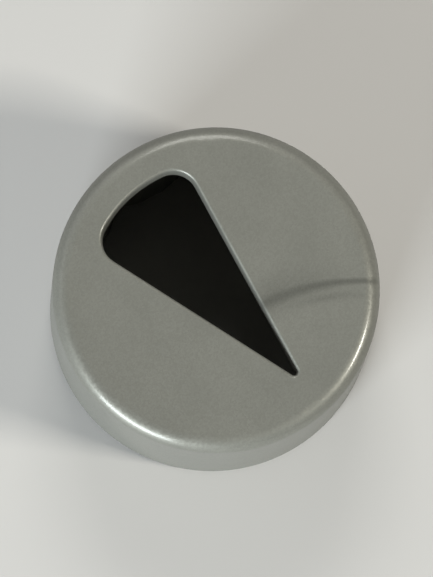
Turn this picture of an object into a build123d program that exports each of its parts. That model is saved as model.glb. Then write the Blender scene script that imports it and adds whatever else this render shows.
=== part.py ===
# Push-on pointer cap for a wheel bolt, moulded in one piece.
#
# The cap is a deep cup that pushes over the hexagon head of a wheel bolt. A wedge-shaped window
# through its crown is the pointer: every cap on a wheel is set with its pointer in line with the
# others, and one that has turned shows a bolt that is working loose.
#
# Frame: the mouth rim lies on the XY plane, the axis is Z, and the pointer's tip is towards +Y.
from build123d import *
import os
from math import cos, radians, sin, tan

# Bolt head that the cap grips
BOLT_ACROSS_FLATS = 19.0
FIT_CLEARANCE = 0.1  # beside each flat, at the mouth

# Twelve-point socket
SOCKET_DEPTH = 16.2
SOCKET_DRAFT = 0.5  # degrees, closing towards the crown, so that the cap wedges on to the bolt
RIB_TRIM = 0.3  # taken off the sharp tip of each rib between two points
POINT_ROUND = 0.3
LEAD_IN_LIP = 0.4  # how far the lead-in cone opens past the points
LEAD_IN_ANGLE = 45.0  # degrees from the axis

# Skirt and crown
SKIRT_WALL = 1.8  # outside the points, at the mouth
SKIRT_DRAFT = 1.0  # degrees
MOUTH_CHAMFER = 0.3
CROWN_THICKNESS = 1.8
CROWN_ROUND = 1.2

# Pointer window
POINTER_ANGLE = 29.0  # degrees between the two long sides
POINTER_BASE_LEDGE = 0.3  # from the ribs to the wide end of the window
POINTER_TIP_LEDGE = 1.1  # from the ribs to the tip of the window
POINTER_TIP_ROUND = 0.3
POINTER_CORNER_ROUND = 2.0
POINTER_EDGE_ROUND = 0.25
POINTER_DRAFT = 3.0  # degrees, closing towards the inside

# Hexagon geometry: a flat's middle is half a side's turn from a point, and a rib is half of that again
HEXAGON_SIDES = 6
HEXAGON_TURN = 180 / HEXAGON_SIDES  # degrees from a point to the middle of the next flat
RIB_TURN = HEXAGON_TURN / 2  # degrees from a point to the next rib, with both hexagons cut

# Socket sizes at the mouth, and at the crown after the draft
socket_apothem = BOLT_ACROSS_FLATS / 2 + FIT_CLEARANCE
point_radius = socket_apothem / cos(radians(HEXAGON_TURN))
rib_radius = socket_apothem / cos(radians(RIB_TURN)) + RIB_TRIM
rib_radius_at_crown = rib_radius - SOCKET_DEPTH * tan(radians(SOCKET_DRAFT))

# Outside sizes
height = SOCKET_DEPTH + CROWN_THICKNESS
mouth_radius = point_radius + SKIRT_WALL
crown_radius = mouth_radius - height * tan(radians(SKIRT_DRAFT))

# Lead-in cone, from the mouth to just inside the ribs
lead_in_radius = point_radius + LEAD_IN_LIP
lead_in_depth = (lead_in_radius - rib_radius_at_crown) / tan(radians(LEAD_IN_ANGLE))

# Pointer outline: two straight sides from a virtual apex, ended by an arc about the cap's axis
pointer_half_angle = radians(POINTER_ANGLE / 2)
pointer_base_radius = rib_radius_at_crown - POINTER_BASE_LEDGE
pointer_tip = rib_radius_at_crown - POINTER_TIP_LEDGE
pointer_apex = pointer_tip + POINTER_TIP_ROUND / sin(pointer_half_angle) - POINTER_TIP_ROUND
wedge_half_width = (pointer_apex + crown_radius) * tan(pointer_half_angle)

with BuildPart() as cap:
    # Solid blank: a drafted skirt with a rounded crown edge, turned about the axis
    with BuildSketch(Plane.XZ) as section:
        with BuildLine():
            Polyline((0, 0), (mouth_radius, 0), (crown_radius, height), (0, height), close=True)
        make_face()
        crown_corner = section.vertices().group_by(Axis.Y)[-1].sort_by(Axis.X)[-1]
        fillet(crown_corner, CROWN_ROUND)
        mouth_corner = section.vertices().group_by(Axis.Y)[0].sort_by(Axis.X)[-1]
        chamfer(mouth_corner, MOUTH_CHAMFER)
    revolve(axis=Axis.Z)

    # Twelve-point socket: two hexagons, the second turned so that its points lie between the first's
    for turn in (0, HEXAGON_TURN):
        with BuildSketch() as hexagon:
            RegularPolygon(socket_apothem, HEXAGON_SIDES, major_radius=False, rotation=turn)
            fillet(hexagon.vertices(), POINT_ROUND)
        extrude(amount=SOCKET_DEPTH, taper=SOCKET_DRAFT, mode=Mode.SUBTRACT)

    # Round bore that blunts the ribs between the points
    with BuildSketch():
        Circle(rib_radius)
    extrude(amount=SOCKET_DEPTH, taper=SOCKET_DRAFT, mode=Mode.SUBTRACT)

    # Lead-in cone at the mouth
    Cone(
        lead_in_radius,
        rib_radius_at_crown,
        lead_in_depth,
        align=(Align.CENTER, Align.CENTER, Align.MIN),
        mode=Mode.SUBTRACT,
    )

    # Pointer window, cut down through the crown
    with BuildSketch(Plane.XY.offset(height)) as pointer:
        with BuildLine():
            Polyline(
                (0, pointer_apex),
                (-wedge_half_width, -crown_radius),
                (wedge_half_width, -crown_radius),
                close=True,
            )
        make_face()
        fillet(pointer.vertices().sort_by(Axis.Y)[-1], POINTER_TIP_ROUND)
        Circle(pointer_base_radius, mode=Mode.INTERSECT)
        fillet(pointer.vertices().group_by(Axis.Y)[0], POINTER_CORNER_ROUND)
    extrude(amount=-CROWN_THICKNESS, taper=POINTER_DRAFT, mode=Mode.SUBTRACT)

    # Softened upper edge of the window
    crown_face = cap.faces().filter_by(GeomType.PLANE).sort_by(Axis.Z)[-1]
    fillet(crown_face.inner_wires()[0].edges(), POINTER_EDGE_ROUND)

cap.part.label = "indicator_cap"

os.makedirs("parts", exist_ok=True)
export_step(cap.part, "parts/indicator_cap.step")
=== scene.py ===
"""The pointer cap seen from above, as a satin silver-grey moulding on a pale floor."""
from math import cos, radians, sin

import bpy
from mathutils import Matrix, Vector


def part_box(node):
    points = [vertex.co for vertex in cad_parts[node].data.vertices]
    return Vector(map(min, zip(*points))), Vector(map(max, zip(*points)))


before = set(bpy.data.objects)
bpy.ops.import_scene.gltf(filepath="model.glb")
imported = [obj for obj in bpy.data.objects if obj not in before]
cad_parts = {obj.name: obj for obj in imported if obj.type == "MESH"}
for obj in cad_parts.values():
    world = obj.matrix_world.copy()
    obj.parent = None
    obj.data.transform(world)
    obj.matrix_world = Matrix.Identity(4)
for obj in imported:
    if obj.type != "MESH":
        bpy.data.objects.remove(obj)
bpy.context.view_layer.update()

MM = 0.001

# The cap in the frame
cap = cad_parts["indicator_cap"]
cap_low, cap_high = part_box("indicator_cap")
cap_width = cap_high.x - cap_low.x
crown_centre = (cap_low + cap_high) / 2
crown_centre.z = cap_high.z

# Camera: it hangs over a point beside the cap, towards the lower left of the picture
POINTER_BELOW_RIGHT = radians(47.1)  # the pointer's direction in the picture
CAMERA_HEIGHT = 400 * MM  # above the crown
CAMERA_LEFT = 9.5 * MM  # of the crown's centre
CAMERA_BELOW = 39.5 * MM
CAP_SHARE = 0.7767  # of the picture's width
PICTURE_WIDTH = 433
PICTURE_HEIGHT = 577
SENSOR = 36.0  # millimetres, along the picture's longer side

# Directions of the picture, on the floor
picture_right = Vector((-sin(POINTER_BELOW_RIGHT), cos(POINTER_BELOW_RIGHT), 0))
picture_up = Vector((-cos(POINTER_BELOW_RIGHT), -sin(POINTER_BELOW_RIGHT), 0))

# Plastic
SILVER = Vector((0.198, 0.201, 0.177))
METAL_SHARE = 0.4
METAL_EDGE = (0.4, 0.4, 0.4, 1)  # how far the metal brightens where it is seen at a slant
BODY_GLOSS = 0.0  # only the coat and the metal shine
COAT_WEIGHT = 0.45
COAT_ROUGHNESS = 0.18
SKIN_ROUGHNESS = (0.44, 0.52)  # where the mottle is darkest and lightest
MOTTLE_SCALE = 260  # per metre, as are the other scales
MOTTLE_TONES = (0.95, 1.05)  # darkest and lightest, as for the flow and the flakes
FLOW_SCALE = 300
FLOW_STRETCH = (1.0, 0.16, 1.0)  # draws the flow marks out along the pointer
FLOW_TONES = (0.96, 1.04)
FLAKE_SCALE = 9000
FLAKE_TONES = (0.94, 1.06)
FLAKE_TILT = 0.1
GRAIN_SCALE = 6000
GRAIN_HEIGHT = 0.004 * MM
BUMP_STRENGTH = 0.5

# Knit line: an arc where two streams of plastic met, from the window's edge out to the rim
KNIT_CENTRE = Vector((3.1, 20.0, 0)) * MM
KNIT_RADIUS = 17.36 * MM
KNIT_DEPTH = 0.02 * MM
KNIT_LIMIT = -0.1 * MM  # X past which the arc shows in full; beyond the axis there is none of it
KNIT_START = -2.3 * MM  # X at the window's edge
KNIT_END = -9.6 * MM  # X at the rim
KNIT_FADE = 0.8 * MM  # below the crown, where only a trace of the line is left
KNIT_TRACE = 0.2
KNIT_WIDTHS = (0.35 * MM, 0.75 * MM)  # to each side, at the rim and at the window
KNIT_TONES = (0.64, 0.73)  # at the rim and at the window
SHADE_RADIUS = KNIT_RADIUS + 0.3 * MM  # soft shade on both sides of the line
SHADE_WIDTH = 2.3 * MM
SHADE_TONES = (0.97, 0.84)  # at the rim and at the window
SECOND_RADIUS = KNIT_RADIUS - 1.05 * MM  # a fainter line beside the middle of the first
SECOND_WIDTH = 0.45 * MM
SECOND_TONE = 0.86

# Lamps
LAMP_DISTANCE = 500 * MM  # from the crown
COOL = (0.9, 0.96, 1.0)
WARM = (1.0, 0.96, 0.88)
WHITE = (1.0, 0.99, 0.96)

# Sky: each tone stands after its height, from 0 at the horizon to 1 overhead
SKY_TONES = ((0.0, 0.24), (0.35, 0.28), (0.5, 0.52), (0.68, 0.52), (0.8, 0.02))
SKY_STRENGTHS = (0.05, 1.95)  # on the dim side and on the bright side
SKY_TURN = radians(50)  # from the picture's top to the bright side, towards the left

# Floor
FLOOR_COLOUR = (0.47, 0.466, 0.452, 1)
FLOOR_ROUGHNESS = 0.9
FLOOR_REACH = 6.0  # metres, to each side
FLOOR_LEVEL = cap_low.z - 0.01 * MM  # just clear of the rim


def add_node(tree, kind, inputs=None, **settings):
    """Adds a node, sets its properties, and gives each input a value or a link."""
    node = tree.nodes.new(kind)
    for name, value in settings.items():
        setattr(node, name, value)
    for socket, value in (inputs or {}).items():
        if isinstance(value, bpy.types.NodeSocket):
            tree.links.new(value, node.inputs[socket])
        else:
            node.inputs[socket].default_value = value
    return node


def new_material(name):
    """A material with its node tree and its Principled shader."""
    material = bpy.data.materials.new(name)
    material.use_nodes = True
    return material, material.node_tree, material.node_tree.nodes["Principled BSDF"]


def between(tree, value, start, end, low, high):
    """Goes smoothly from low to high as a value goes from start to end."""
    node = add_node(
        tree,
        "ShaderNodeMapRange",
        {"Value": value, "From Min": start, "From Max": end, "To Min": low, "To Max": high},
        interpolation_type="SMOOTHSTEP",
    )
    return node.outputs["Result"]


def spread(tree, value, low, high, start=0.0):
    """Maps a value from start to 1 evenly on to low to high."""
    node = add_node(
        tree,
        "ShaderNodeMapRange",
        {"Value": value, "From Min": start, "To Min": low, "To Max": high},
    )
    return node.outputs["Result"]


def multiply(tree, *values):
    """The product of all the values."""
    product = values[0]
    for value in values[1:]:
        node = add_node(tree, "ShaderNodeMath", {0: product, 1: value}, operation="MULTIPLY")
        product = node.outputs["Value"]
    return product


def vector(tree, operation, first, second):
    """The result of a vector operation on two vectors."""
    node = add_node(tree, "ShaderNodeVectorMath", {0: first, 1: second}, operation=operation)
    return node.outputs["Value" if operation in ("DISTANCE", "DOT_PRODUCT") else "Vector"]


def noise(tree, place, scale, detail):
    """Cloudy noise of a given fineness, from 0 to 1."""
    node = add_node(tree, "ShaderNodeTexNoise", {"Vector": place, "Scale": scale, "Detail": detail})
    return node.outputs["Fac"]


def bump(tree, height, distance, normal, invert=False):
    """A normal bent by a height."""
    inputs = {"Height": height, "Distance": distance, "Normal": normal, "Strength": BUMP_STRENGTH}
    return add_node(tree, "ShaderNodeBump", inputs, invert=invert).outputs["Normal"]


def ramp(tree, value, stops):
    """A grey tone for each value, in straight runs between the stops."""
    node = add_node(tree, "ShaderNodeValToRGB", {"Fac": value})
    points = node.color_ramp.elements
    while len(points) < len(stops):
        points.new(1.0)
    for point, (position, tone) in zip(points, stops):
        point.position = position
        point.color = (tone, tone, tone, 1)
    return node.outputs["Color"]


def arc(tree, reach, radius, width):
    """1 on an arc, and 0 from a width away from it, for points at a given reach from its centre."""
    off = add_node(tree, "ShaderNodeMath", {0: reach, 1: radius}, operation="SUBTRACT").outputs["Value"]
    off = add_node(tree, "ShaderNodeMath", {0: off}, operation="ABSOLUTE").outputs["Value"]
    return between(tree, off, 0.0, width, 1.0, 0.0)


def knit_line(tree, place):
    """The knit line, 1 in its middle and 0 away from it, and the tone that it gives the plastic."""
    reach = vector(tree, "DISTANCE", vector(tree, "MULTIPLY", place, (1, 1, 0)), KNIT_CENTRE)
    sides = add_node(tree, "ShaderNodeSeparateXYZ", {"Vector": place}).outputs
    one_side = between(tree, sides["X"], 0.0, KNIT_LIMIT, 0.0, 1.0)
    down_wall = between(tree, sides["Z"], cap_high.z - KNIT_FADE, cap_high.z, KNIT_TRACE, 1.0)
    present = multiply(tree, one_side, down_wall)
    inward = between(tree, sides["X"], KNIT_END, KNIT_START, 0.0, 1.0)
    outward = between(tree, sides["X"], KNIT_START, KNIT_END, 0.0, 1.0)
    halfway = multiply(tree, inward, outward, 4.0)  # 1 midway along the line, and 0 at both ends
    line = multiply(tree, arc(tree, reach, KNIT_RADIUS, spread(tree, inward, *KNIT_WIDTHS)), present)
    shade = multiply(tree, arc(tree, reach, SHADE_RADIUS, SHADE_WIDTH), present)
    second = multiply(tree, arc(tree, reach, SECOND_RADIUS, SECOND_WIDTH), present, halfway)
    tone = multiply(
        tree,
        spread(tree, line, 1.0, spread(tree, inward, *KNIT_TONES)),
        spread(tree, shade, 1.0, spread(tree, inward, *SHADE_TONES)),
        spread(tree, second, 1.0, SECOND_TONE),
    )
    return line, tone


def flakes(tree, place):
    """Metal flakes: a tone for each, and the surface's normal tilted a little its own way."""
    cells = add_node(tree, "ShaderNodeTexVoronoi", {"Vector": place, "Scale": FLAKE_SCALE}).outputs["Color"]
    tone = add_node(tree, "ShaderNodeSeparateColor", {"Color": cells}).outputs["Red"]
    tilt = vector(tree, "SUBTRACT", cells, (0.5, 0.5, 0.5))
    tilt = vector(tree, "MULTIPLY", tilt, (FLAKE_TILT, FLAKE_TILT, FLAKE_TILT))
    normal = add_node(tree, "ShaderNodeNewGeometry").outputs["Normal"]
    tilted = vector(tree, "ADD", normal, tilt)
    tilted = add_node(tree, "ShaderNodeVectorMath", {0: tilted}, operation="NORMALIZE").outputs["Vector"]
    return tone, tilted


def silver_plastic():
    """Grey plastic with metal flake in it, under a satin skin."""
    material, tree, shader = new_material("silver_plastic")
    place = add_node(tree, "ShaderNodeTexCoord").outputs["Object"]
    mottle = noise(tree, place, MOTTLE_SCALE, detail=3)
    flow = noise(tree, vector(tree, "MULTIPLY", place, FLOW_STRETCH), FLOW_SCALE, detail=2)
    flake_tone, flake_normal = flakes(tree, place)
    line, knit_tone = knit_line(tree, place)
    tone = multiply(
        tree,
        spread(tree, mottle, *MOTTLE_TONES),
        spread(tree, flow, *FLOW_TONES),
        spread(tree, flake_tone, *FLAKE_TONES),
        knit_tone,
    )
    colour = add_node(tree, "ShaderNodeVectorMath", {0: SILVER, "Scale": tone}, operation="SCALE")
    skin = bump(tree, noise(tree, place, GRAIN_SCALE, detail=2), GRAIN_HEIGHT, flake_normal)
    groove = bump(tree, line, KNIT_DEPTH, skin, invert=True)
    tree.links.new(colour.outputs["Vector"], shader.inputs["Base Color"])
    tree.links.new(spread(tree, mottle, *SKIN_ROUGHNESS), shader.inputs["Roughness"])
    tree.links.new(groove, shader.inputs["Normal"])
    shader.inputs["Metallic"].default_value = METAL_SHARE
    shader.inputs["Specular Tint"].default_value = METAL_EDGE
    shader.inputs["Specular IOR Level"].default_value = BODY_GLOSS
    shader.inputs["Coat Weight"].default_value = COAT_WEIGHT
    shader.inputs["Coat Roughness"].default_value = COAT_ROUGHNESS
    return material


def pale_floor():
    """A plain matt off-white."""
    material, _, shader = new_material("pale_floor")
    shader.inputs["Base Color"].default_value = FLOOR_COLOUR
    shader.inputs["Roughness"].default_value = FLOOR_ROUGHNESS
    return material


def add_floor():
    """A level square under the cap, far larger than the picture."""
    mesh = bpy.data.meshes.new("floor")
    sides = ((-1, -1), (1, -1), (1, 1), (-1, 1))
    corners = [(x * FLOOR_REACH, y * FLOOR_REACH, FLOOR_LEVEL) for x, y in sides]
    mesh.from_pydata(corners, [], [(0, 1, 2, 3)])
    mesh.materials.append(pale_floor())
    floor = bpy.data.objects.new("floor", mesh)
    bpy.context.scene.collection.objects.link(floor)


def add_softbox(name, heading, elevation, size, power, colour):
    """A soft lamp that faces the crown; its heading is in degrees, from the picture's right downwards."""
    lamp = bpy.data.lights.new(name, "AREA")
    lamp.shape = "RECTANGLE"
    lamp.size, lamp.size_y = size
    lamp.energy = power
    lamp.color = colour
    level = picture_right * cos(radians(heading)) - picture_up * sin(radians(heading))
    away = level * cos(radians(elevation)) + Vector((0, 0, sin(radians(elevation))))
    holder = bpy.data.objects.new(name, lamp)
    holder.location = crown_centre + away * LAMP_DISTANCE
    holder.rotation_euler = away.to_track_quat("Z", "Y").to_euler()
    bpy.context.scene.collection.objects.link(holder)


def add_world():
    """Soft light from a band partway up the sky, brightest on one side, with little from overhead."""
    world = bpy.data.worlds.new("studio")
    world.use_nodes = True
    tree = world.node_tree
    bpy.context.scene.world = world
    way = add_node(tree, "ShaderNodeTexCoord").outputs["Generated"]
    height = add_node(tree, "ShaderNodeSeparateXYZ", {"Vector": way}).outputs["Z"]
    bright_side = picture_up * cos(SKY_TURN) - picture_right * sin(SKY_TURN)
    facing = vector(tree, "DOT_PRODUCT", way, bright_side)
    background = tree.nodes["Background"]
    tree.links.new(ramp(tree, height, SKY_TONES), background.inputs["Color"])
    tree.links.new(spread(tree, facing, *SKY_STRENGTHS, start=-1.0), background.inputs["Strength"])


def add_camera():
    """A long lens on the crown, rolled so that the pointer lies as it does in the picture."""
    data = bpy.data.cameras.new("camera")
    data.sensor_width = SENSOR
    place = crown_centre - picture_right * CAMERA_LEFT - picture_up * CAMERA_BELOW
    place.z += CAMERA_HEIGHT
    away = place - crown_centre
    picture_span = cap_width / CAP_SHARE * PICTURE_HEIGHT / PICTURE_WIDTH
    data.lens = SENSOR * away.length / picture_span
    back = away.normalized()
    right = (picture_right - back * picture_right.dot(back)).normalized()
    up = back.cross(right)
    camera = bpy.data.objects.new("camera", data)
    camera.matrix_world = Matrix.Translation(place) @ Matrix((right, up, back)).transposed().to_4x4()
    bpy.context.scene.collection.objects.link(camera)
    bpy.context.scene.camera = camera


cap.data.materials.clear()
cap.data.materials.append(silver_plastic())
add_floor()
add_softbox("low_lamp", heading=124, elevation=16, size=(0.27, 0.2), power=4.0, colour=COOL)
add_softbox("side_lamp", heading=15, elevation=43, size=(0.09, 0.05), power=1.75, colour=WARM)
add_softbox("top_lamp", heading=267, elevation=50, size=(0.18, 0.2), power=0.9, colour=WHITE)
add_world()
add_camera()
bpy.context.scene.view_settings.view_transform = "Standard"
